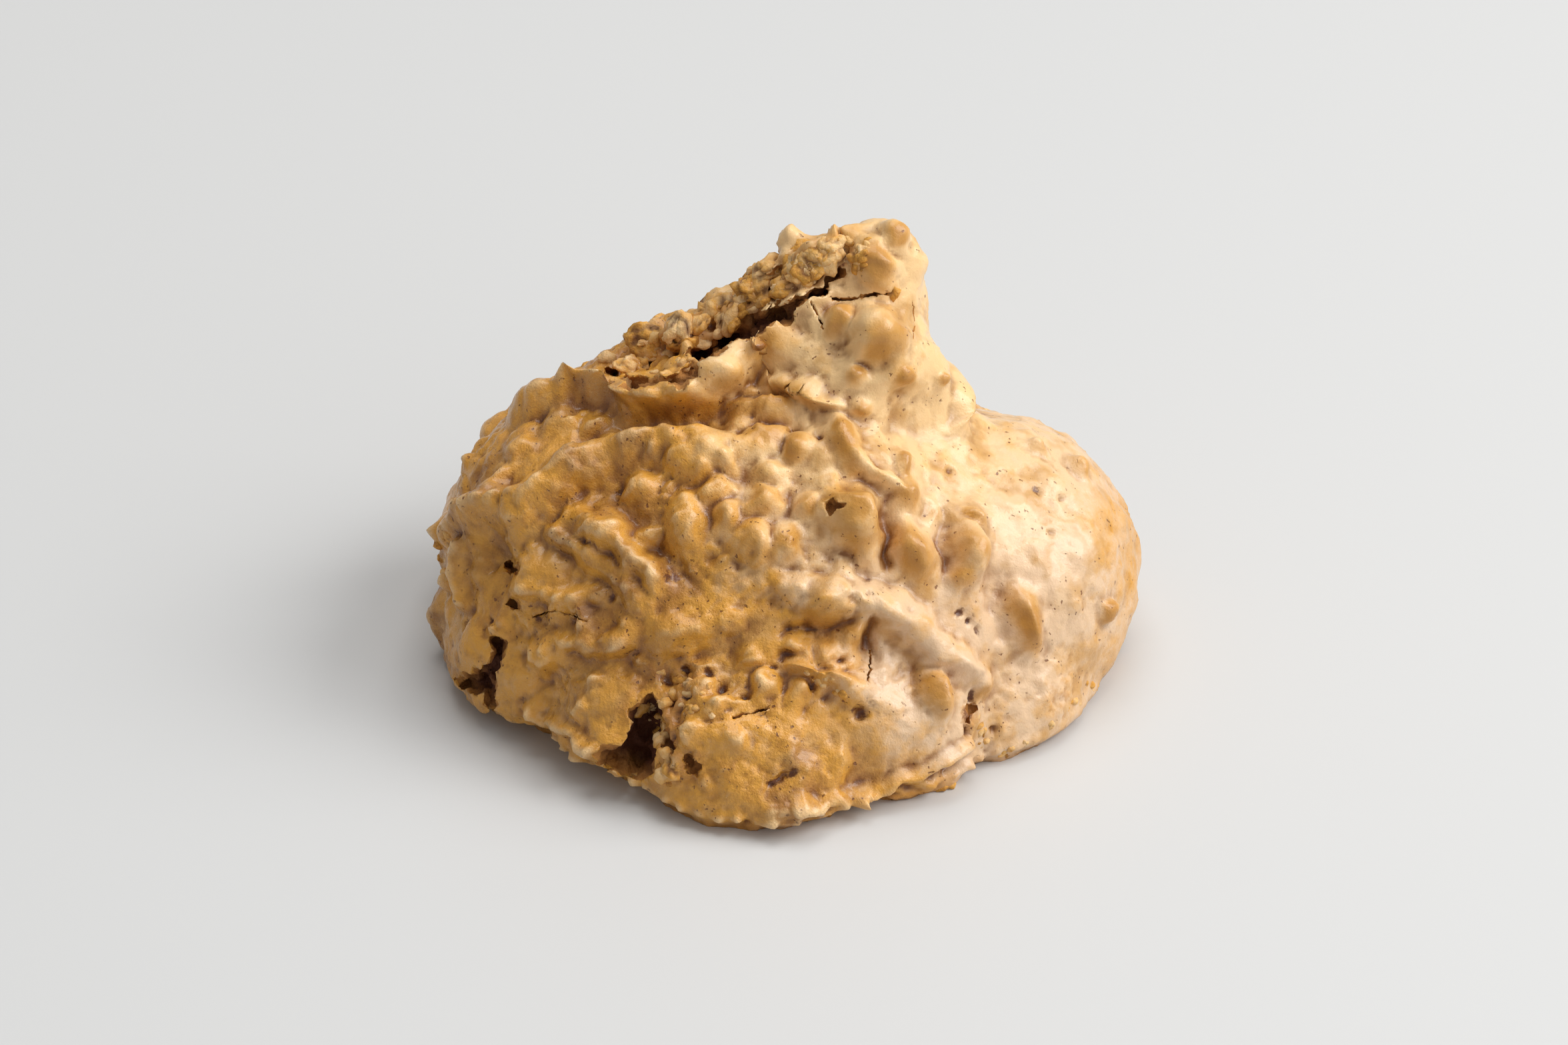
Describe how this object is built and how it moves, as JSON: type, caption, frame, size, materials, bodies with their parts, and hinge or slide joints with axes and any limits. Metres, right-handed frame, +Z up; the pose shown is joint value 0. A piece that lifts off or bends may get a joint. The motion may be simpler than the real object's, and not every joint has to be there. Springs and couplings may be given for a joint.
{
  "type": "brutti ma buoni cookie",
  "caption": "Rough hazelnut meringue cookie: a lumpy baked mound with a leaning peak, a split crest and torn hollows at its foot.",
  "frame": {"origin": "centre of the foot's bounding rectangle, on the flat underside", "axes": "+Z up, +X to the right and -Y towards the eye as the picture shows the cookie"},
  "size_m": [0.06, 0.053, 0.039],
  "materials": {
    "crust": "satin caramel-beige baked meringue skin over matte brown crumb"
  },
  "bodies": {
    "root": {"cookie": "crust"}
  },
  "joints": []
}
